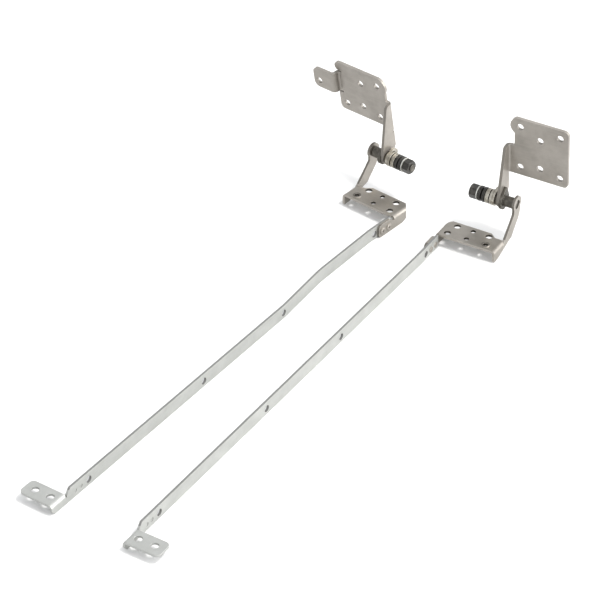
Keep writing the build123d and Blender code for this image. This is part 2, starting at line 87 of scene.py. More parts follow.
class HingeFinish(bpy.types.PropertyGroup):
    """Colours of the pair's finishes."""

    plate: bpy.props.FloatVectorProperty(
        name="Lid plate", description="Plated sheet of the lid brackets", subtype="COLOR", size=4,
        min=0.0, max=1.0, default=(0.465, 0.432, 0.388, 1.0))
    plate_worn: bpy.props.FloatVectorProperty(
        name="Lid plate, worn", description="Brighter patches of the lid brackets", subtype="COLOR", size=4,
        min=0.0, max=1.0, default=(0.57, 0.535, 0.485, 1.0))
    # Base brackets: the plated sheet in darker colours, painted shade of their fronts, which face away from the
    # key light.
    base_plate_with_painted_shade: bpy.props.FloatVectorProperty(
        name="Base plate", description="Satin plated sheet of the base brackets", subtype="COLOR", size=4,
        min=0.0, max=1.0, default=(0.40, 0.372, 0.335, 1.0))
    base_worn_with_painted_shade: bpy.props.FloatVectorProperty(
        name="Base plate, worn", description="Brighter patches of the base brackets", subtype="COLOR", size=4,
        min=0.0, max=1.0, default=(0.54, 0.505, 0.46, 1.0))
    rail: bpy.props.FloatVectorProperty(
        name="Rail", description="Galvanised strip of the screen rails", subtype="COLOR", size=4,
        min=0.0, max=1.0, default=(0.69, 0.702, 0.675, 1.0))
    rail_worn: bpy.props.FloatVectorProperty(
        name="Rail, bright", description="Brighter crystals of the galvanised strip", subtype="COLOR", size=4,
        min=0.0, max=1.0, default=(0.79, 0.80, 0.775, 1.0))
    black: bpy.props.FloatVectorProperty(
        name="Black oxide", description="Springs, nut and shaft", subtype="COLOR", size=4,
        min=0.0, max=1.0, default=(0.033, 0.031, 0.028, 1.0))
    black_worn: bpy.props.FloatVectorProperty(
        name="Black oxide, rubbed", description="Rubbed patches of the blackened steel", subtype="COLOR",
        size=4, min=0.0, max=1.0, default=(0.125, 0.115, 0.10, 1.0))
    washer: bpy.props.FloatVectorProperty(
        name="Washer", description="Plain steel of the washers", subtype="COLOR", size=4,
        min=0.0, max=1.0, default=(0.68, 0.645, 0.565, 1.0))
    grease: bpy.props.FloatVectorProperty(
        name="Grease", description="Film of grease in the friction stack", subtype="COLOR", size=4,
        min=0.0, max=1.0, default=(0.20, 0.16, 0.09, 1.0))
    bare: bpy.props.FloatVectorProperty(
        name="Bare steel", description="Steel rubbed or cut bare on the shafts", subtype="COLOR", size=4,
        min=0.0, max=1.0, default=(0.34, 0.32, 0.28, 1.0))
    # Edge colour of plated pieces: partly rubbed wear, partly painted highlight along every edge.
    rubbed_and_highlit: bpy.props.FloatVectorProperty(
        name="Plate, rubbed", description="Edges of plated pieces rubbed bright", subtype="COLOR", size=4,
        min=0.0, max=1.0, default=(0.82, 0.79, 0.73, 1.0))
    plate_sheared: bpy.props.FloatVectorProperty(
        name="Plate, sheared", description="Cut edges of the brackets' arms and risers", subtype="COLOR",
        size=4, min=0.0, max=1.0, default=(0.30, 0.278, 0.248, 1.0))
    # Dark colour in hole walls, folds and the stack's gaps: painted shade.
    painted_shade: bpy.props.FloatVectorProperty(
        name="Grime", description="Oily dirt in holes and folds", subtype="COLOR", size=4,
        min=0.0, max=1.0, default=(0.05, 0.044, 0.036, 1.0))
    rail_sheared: bpy.props.FloatVectorProperty(
        name="Rail, sheared", description="Cut top edges of the screen rails", subtype="COLOR", size=4,
        min=0.0, max=1.0, default=(0.43, 0.43, 0.42, 1.0))


class HingeDetail(bpy.types.PropertyGroup):
    """Small sizes that the finish adds to the pieces."""

    edge_radius: bpy.props.FloatProperty(
        name="Edge radius", description="Rounding of the small turned parts", unit="LENGTH", default=0.00012)
    edge_angle: bpy.props.FloatProperty(
        name="Edge angle", description="Folds sharper than this are rounded", subtype="ANGLE",
        default=math.radians(40.0))
    arm_sheet: bpy.props.FloatProperty(
        name="Arm sheet", description="Thickness of the base brackets' sheet", unit="LENGTH", default=0.0012)
    arm_room: bpy.props.FloatProperty(
        name="Arm room", description="Width of a base bracket taken by its arm and fold", unit="LENGTH",
        default=0.006)
    fold_room: bpy.props.FloatProperty(
        name="Fold room", description="Width of a lid bracket's side taken by its fold", unit="LENGTH",
        default=0.0022)
    riser_start: bpy.props.FloatProperty(
        name="Riser start", description="Height where the lid brackets' risers leave the plates",
        unit="LENGTH", default=0.0058)
    plate_top: bpy.props.FloatProperty(
        name="Plate top", description="Height of the lid brackets' plates", unit="LENGTH", default=0.0055)
    tongue_end: bpy.props.FloatProperty(
        name="Tongue end", description="Length of the cut end of a lid bracket's tongue", unit="LENGTH",
        default=0.0015)
    tab_end: bpy.props.FloatProperty(
        name="Tab end", description="Length of rail taken by the screw tab at its front", unit="LENGTH",
        default=0.0095)
    thread_pitch: bpy.props.FloatProperty(
        name="Thread pitch", description="Pitch of the shaft's thread", unit="LENGTH", default=0.0005)
    thread_depth: bpy.props.FloatProperty(
        name="Thread depth", description="Height of the thread's ridge", unit="LENGTH", default=0.00012)
    thread_length: bpy.props.FloatProperty(
        name="Thread length", description="Length of thread in view past the nut", unit="LENGTH",
        default=0.0004)


class HingeStudio(bpy.types.PropertyGroup):
    """Floor, lights and camera."""

    camera_place: bpy.props.FloatVectorProperty(
        name="Camera place", description="Where the camera stands", subtype="TRANSLATION", size=3,
        default=(0.373547, -0.630317, 0.5561))
    camera_target: bpy.props.FloatVectorProperty(
        name="Camera target", description="Floor point in the middle of the picture", subtype="TRANSLATION",
        size=3, default=(-0.013583, 0.031018, 0.0))
    lens: bpy.props.FloatProperty(
        name="Lens", description="Focal length", subtype="DISTANCE_CAMERA", default=150.0)
    view_reach: bpy.props.FloatProperty(
        name="View reach", description="How far the camera sees", unit="LENGTH", default=20.0)
    floor_size: bpy.props.FloatProperty(
        name="Floor size", description="Half the side of the floor", unit="LENGTH", default=6.0)
    floor_seen: bpy.props.FloatProperty(
        name="Floor, seen", description="Tone of the floor itself", subtype="FACTOR", default=0.93)
    floor_mirrored_near: bpy.props.FloatProperty(
        name="Floor, mirrored near", description="Tone in the metal of the floor in front", subtype="FACTOR",
        default=0.44)
    floor_mirrored_far: bpy.props.FloatProperty(
        name="Floor, mirrored far", description="Tone in the metal of the floor behind", subtype="FACTOR",
        default=0.60)
    floor_change: bpy.props.FloatVectorProperty(
        name="Floor change", description="Where the mirrored tone starts and ends to change, from the front",
        subtype="TRANSLATION", size=2, default=(0.06, 0.125))
    key_direction: bpy.props.FloatVectorProperty(
        name="Key direction", description="From the pair to the main light", subtype="DIRECTION", size=3,
        default=(0.445, 0.054, 0.894))
    key_distance: bpy.props.FloatProperty(
        name="Key distance", description="How far the main light stands", unit="LENGTH", default=1.6)
    key_size: bpy.props.FloatProperty(
        name="Key size", description="Side of the main light", unit="LENGTH", default=0.30)
    key_energy: bpy.props.FloatProperty(
        name="Key energy", description="Power of the main light", unit="POWER", default=14.0)
    key_colour: bpy.props.FloatVectorProperty(
        name="Key colour", description="Colour of the main light", subtype="COLOR", size=3,
        min=0.0, max=1.0, default=(1.0, 0.985, 0.96))
    side_offset: bpy.props.FloatVectorProperty(
        name="Side offset", description="From the pair to the panel on the right", subtype="TRANSLATION",
        size=3, default=(1.3, 0.35, 0.35))
    side_size: bpy.props.FloatProperty(
        name="Side size", description="Side of the panel on the right", unit="LENGTH", default=1.6)
    side_energy: bpy.props.FloatProperty(
        name="Side energy", description="Power of the panel on the right", unit="POWER", default=17.0)
    side_colour: bpy.props.FloatVectorProperty(
        name="Side colour", description="Colour of the panel on the right", subtype="COLOR", size=3,
        min=0.0, max=1.0, default=(1.0, 0.99, 0.97))
    sky_tone: bpy.props.FloatVectorProperty(
        name="Room tone", description="Colour of the room's soft light", subtype="COLOR", size=4,
        min=0.0, max=1.0, default=(0.98, 0.99, 1.0, 1.0))
    sky_strength: bpy.props.FloatProperty(
        name="Room strength", description="Brightness of the room's soft light on matt things", default=0.94)
    sky_dim: bpy.props.FloatProperty(
        name="Room, dim side", description="Brightness of the room's far side in the metal", default=0.29)
    sky_bright: bpy.props.FloatProperty(
        name="Room, bright side", description="Brightness of the room's near side in the metal", default=1.0)
    sky_direction: bpy.props.FloatVectorProperty(
        name="Room direction", description="From the dim side to the bright side", subtype="DIRECTION",
        size=3, default=(1.0, -0.1, 0.15))


# Node helpers

def add_node(tree, kind, **settings):
    """New node; settings name its properties, or its inputs with spaces as underscores."""
    made = tree.nodes.new(kind)
    for key, value in settings.items():
        if hasattr(made, key):
            setattr(made, key, value)
        else:
            made.inputs[key.replace("_", " ")].default_value = value
    return made


def start_group(name, inputs, outputs):
    """Empty shader group with its sockets and end nodes: the tree, its input node and its output node."""
    tree = bpy.data.node_groups.new(name, "ShaderNodeTree")
    for label, kind, value in inputs:
        socket = tree.interface.new_socket(name=label, in_out="INPUT", socket_type=kind)
        if value is not None:
            socket.default_value = value
    for label, kind in outputs:
        tree.interface.new_socket(name=label, in_out="OUTPUT", socket_type=kind)
    return tree, tree.nodes.new("NodeGroupInput"), tree.nodes.new("NodeGroupOutput")


def use_group(tree, group, **values):
    """Places a shared effect in a material and sets its values."""
    placed = tree.nodes.new("ShaderNodeGroup")
    placed.node_tree = group
    for label, value in values.items():
        placed.inputs[label.replace("_", " ")].default_value = value
    return placed


def rolled_grain_group():
    """Fine rolling lines and soft patches of cold-rolled sheet."""
    tree, start, end = start_group(
        "Rolled Grain",
        [("Vector", "NodeSocketVector", None), ("Line Scale", "NodeSocketFloat", 1400.0),
         ("Patch Scale", "NodeSocketFloat", 140.0), ("Stretch", "NodeSocketVector", (1.0, 0.06, 1.0))],
        [("Lines", "NodeSocketFloat"), ("Patches", "NodeSocketFloat")])
    stretched = add_node(tree, "ShaderNodeVectorMath", operation="MULTIPLY")
    lines = add_node(tree, "ShaderNodeTexNoise", Detail=4.0, Roughness=0.6)
    patches = add_node(tree, "ShaderNodeTexNoise", Detail=5.0, Roughness=0.62)
    spread = add_node(tree, "ShaderNodeMapRange")
    spread.inputs["From Min"].default_value = 0.3
    spread.inputs["From Max"].default_value = 0.7
    link = tree.links.new
    link(start.outputs["Vector"], stretched.inputs[0])
    link(start.outputs["Stretch"], stretched.inputs[1])
    link(stretched.outputs["Vector"], lines.inputs["Vector"])
    link(start.outputs["Line Scale"], lines.inputs["Scale"])
    link(start.outputs["Vector"], patches.inputs["Vector"])
    link(start.outputs["Patch Scale"], patches.inputs["Scale"])
    link(patches.outputs["Fac"], spread.inputs["Value"])
    link(lines.outputs["Fac"], end.inputs["Lines"])
    link(spread.outputs["Result"], end.inputs["Patches"])
    return tree


def handling_marks_group():
    """Sparse fine scratches and soft finger smudges."""
    tree, start, end = start_group(
        "Handling Marks",
        [("Vector", "NodeSocketVector", None), ("Scratch Scale", "NodeSocketFloat", 260.0),
         ("Smudge Scale", "NodeSocketFloat", 70.0)],
        [("Scratches", "NodeSocketFloat"), ("Smudges", "NodeSocketFloat")])
    bent = add_node(tree, "ShaderNodeVectorMath", operation="MULTIPLY")
    bent.inputs[1].default_value = (0.18, 1.0, 0.5)
    cells = add_node(tree, "ShaderNodeTexVoronoi", feature="DISTANCE_TO_EDGE")
    thin = add_node(tree, "ShaderNodeMapRange")
    thin.inputs["From Max"].default_value = 0.018
    thin.inputs["To Min"].default_value = 1.0
    thin.inputs["To Max"].default_value = 0.0
    smudge = add_node(tree, "ShaderNodeTexNoise", Detail=3.0, Roughness=0.55)
    soft = add_node(tree, "ShaderNodeMapRange", interpolation_type="SMOOTHSTEP")
    soft.inputs["From Min"].default_value = 0.45
    soft.inputs["From Max"].default_value = 0.72
    kept = add_node(tree, "ShaderNodeMath", operation="MULTIPLY")
    link = tree.links.new
    link(start.outputs["Vector"], bent.inputs[0])
    link(bent.outputs["Vector"], cells.inputs["Vector"])
    link(start.outputs["Scratch Scale"], cells.inputs["Scale"])
    link(cells.outputs["Distance"], thin.inputs["Value"])
    link(start.outputs["Vector"], smudge.inputs["Vector"])
    link(start.outputs["Smudge Scale"], smudge.inputs["Scale"])
    link(smudge.outputs["Fac"], soft.inputs["Value"])
    link(thin.outputs["Result"], kept.inputs[0])
    link(soft.outputs["Result"], kept.inputs[1])
    link(kept.outputs["Value"], end.inputs["Scratches"])
    link(soft.outputs["Result"], end.inputs["Smudges"])
    return tree


def turned_rings_group():
    """Fine lathe rings round the shaft; the vector's x runs along the shaft from its axis."""
    tree, start, end = start_group(
        "Turned Rings",
        [("Vector", "NodeSocketVector", None), ("Ring Scale", "NodeSocketFloat", 9000.0)],
        [("Rings", "NodeSocketFloat")])
    apart = add_node(tree, "ShaderNodeSeparateXYZ")
    flat = add_node(tree, "ShaderNodeCombineXYZ")
    radius = add_node(tree, "ShaderNodeVectorMath", operation="LENGTH")
    along = add_node(tree, "ShaderNodeMath", operation="ADD")
    phase = add_node(tree, "ShaderNodeMath", operation="MULTIPLY")
    wave = add_node(tree, "ShaderNodeMath", operation="SINE")
    half = add_node(tree, "ShaderNodeMapRange")
    half.inputs["From Min"].default_value = -1.0
    link = tree.links.new
    link(start.outputs["Vector"], apart.inputs["Vector"])
    link(apart.outputs["Y"], flat.inputs["Y"])
    link(apart.outputs["Z"], flat.inputs["Z"])
    link(flat.outputs["Vector"], radius.inputs[0])
    link(radius.outputs["Value"], along.inputs[0])
    link(apart.outputs["X"], along.inputs[1])
    link(along.outputs["Value"], phase.inputs[0])
    link(start.outputs["Ring Scale"], phase.inputs[1])
    link(phase.outputs["Value"], wave.inputs[0])
    link(wave.outputs["Value"], half.inputs["Value"])
    link(half.outputs["Result"], end.inputs["Rings"])
    return tree


def sheared_edge_group():
    """Mask of the faces that stand square to a sheet, inside a band across the piece."""
    tree, start, end = start_group(
        "Sheared Edge",
        [("Normal", "NodeSocketVector", None), ("Vector", "NodeSocketVector", None),
         ("Sheet Normal", "NodeSocketVector", None), ("Band Axis", "NodeSocketVector", None),
         ("Band Start", "NodeSocketFloat", 0.0), ("Band End", "NodeSocketFloat", 1.0)],
        [("Mask", "NodeSocketFloat")])
    across = add_node(tree, "ShaderNodeVectorMath", operation="DOT_PRODUCT")
    size = add_node(tree, "ShaderNodeMath", operation="ABSOLUTE")
    square = add_node(tree, "ShaderNodeMapRange")
    square.inputs["From Min"].default_value = 0.35
    square.inputs["From Max"].default_value = 0.75
    square.inputs["To Min"].default_value = 1.0
    square.inputs["To Max"].default_value = 0.0
    along = add_node(tree, "ShaderNodeVectorMath", operation="DOT_PRODUCT")
    past = add_node(tree, "ShaderNodeMath", operation="GREATER_THAN")
    short = add_node(tree, "ShaderNodeMath", operation="LESS_THAN")
    inside = add_node(tree, "ShaderNodeMath", operation="MULTIPLY")
    mask = add_node(tree, "ShaderNodeMath", operation="MULTIPLY")
    link = tree.links.new
    link(start.outputs["Normal"], across.inputs[0])
    link(start.outputs["Sheet Normal"], across.inputs[1])
    link(across.outputs["Value"], size.inputs[0])
    link(size.outputs["Value"], square.inputs["Value"])
    link(start.outputs["Vector"], along.inputs[0])
    link(start.outputs["Band Axis"], along.inputs[1])
    link(along.outputs["Value"], past.inputs[0])
    link(start.outputs["Band Start"], past.inputs[1])
    link(along.outputs["Value"], short.inputs[0])
    link(start.outputs["Band End"], short.inputs[1])
    link(past.outputs["Value"], inside.inputs[0])
    link(short.outputs["Value"], inside.inputs[1])
    link(square.outputs["Result"], mask.inputs[0])
    link(inside.outputs["Value"], mask.inputs[1])
    link(mask.outputs["Value"], end.inputs["Mask"])
    return tree


def rubbed_and_highlit_edges_group():
    """Mask of the edges, painted bright as wear and as highlight, and the normal of the edge as if it were
    rounded.
    """
    tree, start, end = start_group(
        "Rubbed and Highlit Edges",
        [("Width", "NodeSocketFloat", 0.00022), ("Strength", "NodeSocketFloat", 0.8)],
        [("Mask", "NodeSocketFloat"), ("Normal", "NodeSocketVector")])
    rounded = add_node(tree, "ShaderNodeBevel", samples=EDGE_SAMPLES)
    surface = tree.nodes.new("ShaderNodeNewGeometry")
    turned = add_node(tree, "ShaderNodeVectorMath", operation="DOT_PRODUCT")
    worn = add_node(tree, "ShaderNodeMapRange")
    worn.inputs["From Min"].default_value = 0.75
    worn.inputs["From Max"].default_value = 0.97
    worn.inputs["To Max"].default_value = 0.0
    link = tree.links.new
    link(start.outputs["Width"], rounded.inputs["Radius"])
    link(start.outputs["Strength"], worn.inputs["To Min"])
    link(rounded.outputs["Normal"], turned.inputs[0])
    link(surface.outputs["Normal"], turned.inputs[1])
    link(turned.outputs["Value"], worn.inputs["Value"])
    link(worn.outputs["Result"], end.inputs["Mask"])
    link(rounded.outputs["Normal"], end.inputs["Normal"])
    return tree


def hollows_group(name, own):
    """Mask of hollows, darkest deep inside, where shade is painted; own leaves the neighbouring pieces out."""
    tree, start, end = start_group(
        name,
        [("Distance", "NodeSocketFloat", 0.003), ("Darkest", "NodeSocketFloat", 0.7),
         ("Open Air", "NodeSocketFloat", 0.93)],
        [("Mask", "NodeSocketFloat")])
    shade = add_node(tree, "ShaderNodeAmbientOcclusion", samples=HOLLOW_SAMPLES, only_local=own)
    mask = add_node(tree, "ShaderNodeMapRange")
    mask.inputs["To Min"].default_value = 1.0
    mask.inputs["To Max"].default_value = 0.0
    link = tree.links.new
    link(start.outputs["Distance"], shade.inputs["Distance"])
    link(start.outputs["Darkest"], mask.inputs["From Min"])
    link(start.outputs["Open Air"], mask.inputs["From Max"])
    link(shade.outputs["AO"], mask.inputs["Value"])
    link(mask.outputs["Result"], end.inputs["Mask"])
    return tree


def sheet_hollows_group():
    """Hollows of one piece by itself, such as the walls of its holes."""
    return hollows_group("Sheet Hollows", True)


def stack_gaps_group():
    """Gaps between the pieces of a stack."""
    return hollows_group("Stack Gaps", False)


def grease_film_group():
    """Patchy film of grease."""
    tree, start, end = start_group(
        "Grease Film",
        [("Vector", "NodeSocketVector", None), ("Patch Scale", "NodeSocketFloat", 330.0),
         ("Amount", "NodeSocketFloat", 0.5)],
        [("Film", "NodeSocketFloat")])
    patches = add_node(tree, "ShaderNodeTexNoise", Detail=3.0)
    film = add_node(tree, "ShaderNodeMapRange")
    film.inputs["From Min"].default_value = 0.48
    film.inputs["From Max"].default_value = 0.66
    link = tree.links.new
    link(start.outputs["Vector"], patches.inputs["Vector"])
    link(start.outputs["Patch Scale"], patches.inputs["Scale"])
    link(patches.outputs["Fac"], film.inputs["Value"])
    link(start.outputs["Amount"], film.inputs["To Max"])
    link(film.outputs["Result"], end.inputs["Film"])
    return tree


def shared_group(name, maker):
    """A shared effect, built on its first use."""
    return bpy.data.node_groups.get(name) or maker()


def start_material(name, metallic, coat=0.0):
    """New material: its tree, its shader and its Object coordinates."""
    material = bpy.data.materials.new(name)
    material.use_nodes = True
    tree = material.node_tree
    shader = tree.nodes["Principled BSDF"]
    shader.inputs["Metallic"].default_value = metallic
    shader.inputs["Coat Weight"].default_value = coat
    coordinates = tree.nodes.new("ShaderNodeTexCoord")
    return material, tree, shader, coordinates.outputs


def mix_colours(tree, first, second, factor):
    """Colour between two, by a factor socket."""
    mixer = add_node(tree, "ShaderNodeMix", data_type="RGBA")
    for value, number in zip((first, second), MIX_COLOURS):
        if isinstance(value, bpy.types.NodeSocket):
            tree.links.new(value, mixer.inputs[number])
        else:
            mixer.inputs[number].default_value = value
    tree.links.new(factor, mixer.inputs[MIX_FACTOR])
    return mixer.outputs[MIX_COLOUR_OUT]


def remap(tree, value, low, high, start=0.0, end=1.0):
    """Value socket brought from start..end to low..high."""
    mapped = add_node(tree, "ShaderNodeMapRange")
    mapped.inputs["From Min"].default_value = start
    mapped.inputs["From Max"].default_value = end
    mapped.inputs["To Min"].default_value = low
    mapped.inputs["To Max"].default_value = high
    tree.links.new(value, mapped.inputs["Value"])
    return mapped.outputs["Result"]


def add_bump(tree, shader, height, normal, strength, distance):
    """Bump from a height socket, on top of a normal socket."""
    bump = add_node(tree, "ShaderNodeBump", Strength=strength, Distance=distance)
    tree.links.new(height, bump.inputs["Height"])
    tree.links.new(normal, bump.inputs["Normal"])
    tree.links.new(bump.outputs["Normal"], shader.inputs["Normal"])


def edge_mask(tree, places, sheet_normal, band):
    """Mask socket of a sheet's cut edges; band is its axis, start and end."""
    axis, start, end = band
    edge = use_group(tree, shared_group("Sheared Edge", sheared_edge_group), Sheet_Normal=sheet_normal,
                     Band_Axis=axis, Band_Start=start, Band_End=end)
    tree.links.new(places["Normal"], edge.inputs["Normal"])
    tree.links.new(places["Object"], edge.inputs["Vector"])
    return edge.outputs["Mask"]


def sheet_material(name, tones, turn, cut_faces, hole_faces, roughness, metallic, stretch, painted_hole_shade):
    """Rolled, plated sheet with patches, rolling lines, scratches, smudges, edges painted bright as wear and
    highlight, cut edges and hole walls darkened as painted shade.

    cut_faces lists the cut edges, each as a sheet's normal and the band across the piece that it is in;
    hole_faces lists in the same way what a hole's wall has to meet.
    """
    base, bright, rubbed_and_highlit, sheared, painted_shade = tones
    material, tree, shader, places = start_material(name, metallic)
    turned = add_node(tree, "ShaderNodeMapping")
    turned.inputs["Rotation"].default_value = turn
    tree.links.new(places["Object"], turned.inputs["Vector"])
    grain = use_group(tree, shared_group("Rolled Grain", rolled_grain_group), Stretch=stretch)
    marks = use_group(tree, shared_group("Handling Marks", handling_marks_group))
    edges = use_group(tree, shared_group("Rubbed and Highlit Edges", rubbed_and_highlit_edges_group), Width=0.00022, Strength=0.8)
    hollows = use_group(
        tree, shared_group("Sheet Hollows", sheet_hollows_group), Distance=0.003, Darkest=0.70, Open_Air=0.93)
    for group in (grain, marks):
        tree.links.new(turned.outputs["Vector"], group.inputs["Vector"])
    sheet = mix_colours(tree, base, bright, grain.outputs["Patches"])
    lines = remap(tree, grain.outputs["Lines"], low=0.0, high=0.5, start=0.45, end=0.75)
    lined = mix_colours(tree, sheet, bright, lines)
    scored = mix_colours(tree, lined, bright, remap(tree, marks.outputs["Scratches"], low=0.0, high=0.7))
    # Edges painted bright: partly wear, partly painted highlight.
    cut = mix_colours(tree, scored, rubbed_and_highlit, edges.outputs["Mask"])
    for sheet_normal, band in cut_faces:
        cut = mix_colours(tree, cut, sheared, edge_mask(tree, places, sheet_normal, band))
    walls = hollows.outputs["Mask"]
    for sheet_normal, band in hole_faces:
        kept = add_node(tree, "ShaderNodeMath", operation="MULTIPLY")
        tree.links.new(walls, kept.inputs[0])
        tree.links.new(edge_mask(tree, places, sheet_normal, band), kept.inputs[1])
        walls = kept.outputs["Value"]
    # Hole walls darkened: painted shade.
    hole_shade_painted = mix_colours(tree, cut, painted_shade, remap(tree, walls, low=0.0, high=painted_hole_shade))
    rough = remap(tree, marks.outputs["Smudges"], low=roughness, high=roughness + SHEET_SMUDGE)
    tree.links.new(hole_shade_painted, shader.inputs["Base Color"])
    tree.links.new(rough, shader.inputs["Roughness"])
    add_bump(tree, shader, grain.outputs["Lines"], edges.outputs["Normal"], strength=0.12, distance=0.00004)
    return material


def turned_material(name, tones, joint, roughness, metallic, grease, coat=0.0):
    """Turned steel: lathe rings round the joint's axis, rubbed patches, a film of grease, gaps darkened as painted
    shade and edges painted bright as wear and highlight.
    """
    base, worn, rubbed_and_highlit, stain, painted_shade = tones
    material, tree, shader, places = start_material(name, metallic, coat)
    centred = add_node(tree, "ShaderNodeMapping", vector_type="TEXTURE")
    centred.inputs["Location"].default_value = joint["pos_m"]
    centred.inputs["Rotation"].default_value = (0.0, 0.0, math.atan2(joint["axis"][1], joint["axis"][0]))
    tree.links.new(places["Object"], centred.inputs["Vector"])
    rings = use_group(tree, shared_group("Turned Rings", turned_rings_group))
    marks = use_group(tree, shared_group("Handling Marks", handling_marks_group),
                      Scratch_Scale=700.0, Smudge_Scale=420.0)
    film = use_group(tree, shared_group("Grease Film", grease_film_group), Amount=grease)
    edges = use_group(tree, shared_group("Rubbed and Highlit Edges", rubbed_and_highlit_edges_group), Width=0.0002, Strength=0.7)
    gaps = use_group(
        tree, shared_group("Stack Gaps", stack_gaps_group), Distance=0.0009, Darkest=0.45, Open_Air=0.85)
    for group in (rings, marks, film):
        tree.links.new(centred.outputs["Vector"], group.inputs["Vector"])
    patched = mix_colours(tree, base, worn, remap(tree, marks.outputs["Smudges"], low=0.0, high=0.6))
    ringed = mix_colours(tree, patched, worn, remap(tree, rings.outputs["Rings"], low=0.0, high=0.18))
    filmed = mix_colours(tree, ringed, stain, film.outputs["Film"])
    # Gaps between the stack's pieces darkened: painted shade.
    gapped = mix_colours(tree, filmed, painted_shade, gaps.outputs["Mask"])
    # Edges painted bright: partly wear, partly painted highlight.
    bare = mix_colours(tree, gapped, rubbed_and_highlit, edges.outputs["Mask"])
    rough = remap(tree, marks.outputs["Smudges"], low=roughness, high=roughness + TURNED_SMUDGE)
    tree.links.new(bare, shader.inputs["Base Color"])
    tree.links.new(rough, shader.inputs["Roughness"])
    add_bump(tree, shader, rings.outputs["Rings"], edges.outputs["Normal"], strength=0.2, distance=0.00002)
    return material


# Pieces

def node_object(side, stem):
    """CAD object of one side's piece."""
    return frame["nodes"][f"{side}_{stem}"]


def hinge_joint(side):
    """Joint record of one side."""
    for joint in frame["joints"]:
        if joint["name"] == f"{side}_hinge":
            return joint
    raise RuntimeError(f"no joint for the {side} hinge")


def dress(piece, material):
    """Gives a piece its finish."""
    piece.data.materials.clear()
    piece.data.materials.append(material)


def round_edges(piece, detail):
    """Rounds the edges of a small turned part."""
    weld = piece.modifiers.new("Weld", "WELD")
    weld.merge_threshold = detail.edge_radius * WELD_SHARE
    bevel = piece.modifiers.new("Edges", "BEVEL")
    bevel.width = detail.edge_radius
    bevel.segments = 2
    bevel.limit_method = "ANGLE"
    bevel.angle_limit = detail.edge_angle
    bevel.use_clamp_overlap = True
    bevel.harden_normals = True


def reach(side, stem, axis):
    """Lowest and highest place of a piece along an axis."""
    places = [vertex.co.dot(axis) for vertex in node_object(side, stem).data.vertices]
    return min(places), max(places)


def arm_band(side, axis, thickness):
    """Band along the shaft that holds the base bracket's arm."""
    low, high = reach(side, "inner_thrust_washer", axis)
    if side == "right":
        return axis, high, high + thickness
    return axis, low - thickness, low


def screw_axis(name):
    """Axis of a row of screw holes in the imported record."""
    for mount in frame["record"]["mounts"]:
        if mount["name"] == name:
            return mount["axis"]
    raise RuntimeError(f"no mount named {name}")


class HINGE_OT_brackets(bpy.types.Operator):
    """Finish the lid brackets and base brackets as satin plated sheet"""

    bl_idname = "hinge.brackets"
    bl_label = "Finish Brackets"

    def execute(self, context):
        finish = context.scene.hinge_finish
        detail = context.scene.hinge_detail
        # Third tone: edges painted bright, partly wear, partly painted highlight; last tone: painted shade in hole
        # walls.
        lid_tones = (finish.plate, finish.plate_worn, finish.rubbed_and_highlit, finish.plate_sheared, finish.painted_shade)
        base_tones = (finish.base_plate_with_painted_shade, finish.base_worn_with_painted_shade, finish.rubbed_and_highlit, finish.plate_sheared, finish.painted_shade)
        for side in SIDES:
            axis = Vector(hinge_joint(side)["axis"])
            turn = (0.0, 0.0, -math.atan2(axis.y, axis.x))
            low, high = reach(side, "lid_bracket", axis)
            plate_band = (axis, low + detail.fold_room, high - detail.fold_room)
            corner, far_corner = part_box(f"{side}_lid_bracket")
            riser_band = (UPWARDS, detail.riser_start, far_corner.z)
            tongue_band = (BACKWARDS, corner.y, corner.y + detail.tongue_end)
            lid = sheet_material(
                f"{side}_lid_sheet", lid_tones, turn,
                cut_faces=[(axis, riser_band), (axis, tongue_band)],
                hole_faces=[(UPWARDS, plate_band), (UPWARDS, (UPWARDS, corner.z, detail.plate_top))],
                roughness=0.30, metallic=0.85, stretch=ACROSS_THE_GRAIN, painted_hole_shade=1.0)
            dress(node_object(side, "lid_bracket"), lid)
            low, high = reach(side, "base_bracket", axis)
            if side == "right":
                screw_band = (axis, low + detail.arm_room, high)
            else:
                screw_band = (axis, low, high - detail.arm_room)
            base = sheet_material(
                f"{side}_base_sheet", base_tones, turn,
                cut_faces=[(axis, arm_band(side, axis, detail.arm_sheet))],
                hole_faces=[(screw_axis(f"{side}_base_low_screws"), screw_band)],
                roughness=0.32, metallic=0.6, stretch=ACROSS_THE_GRAIN, painted_hole_shade=0.35)
            dress(node_object(side, "base_bracket"), base)
        return {"FINISHED"}


class HINGE_OT_rails(bpy.types.Operator):
    """Finish the screen rails and their rivets as galvanised strip"""

    bl_idname = "hinge.rails"
    bl_label = "Finish Rails"

    def execute(self, context):
        finish = context.scene.hinge_finish
        detail = context.scene.hinge_detail
        # Third tone: edges painted bright, partly wear, partly painted highlight; last tone: painted shade in the
        # holes.
        tones = (finish.rail, finish.rail_worn, finish.rail_worn, finish.rail_sheared, finish.painted_shade)
        rivet_tones = (finish.plate, finish.plate_worn, finish.rubbed_and_highlit, finish.plate_sheared, finish.painted_shade)
        level = (0.0, 0.0, 0.0)
        for side in SIDES:
            axis = hinge_joint(side)["axis"]
            low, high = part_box(f"{side}_screen_rail")
            strip = sheet_material(
                f"{side}_galvanised_strip", tones, level,
                cut_faces=[(axis, (BACKWARDS, low.y + detail.tab_end, high.y))],
                hole_faces=[(axis, (BACKWARDS, low.y, high.y))],
                roughness=0.50, metallic=0.8, stretch=ALONG_THE_RAIL, painted_hole_shade=0.2)
            dress(node_object(side, "screen_rail"), strip)
            rivets = sheet_material(
                f"{side}_rivet_steel", rivet_tones, level, cut_faces=[], hole_faces=[],
                roughness=0.50, metallic=0.85, stretch=NO_GRAIN, painted_hole_shade=0.0)
            dress(node_object(side, "rail_rivets"), rivets)
        return {"FINISHED"}


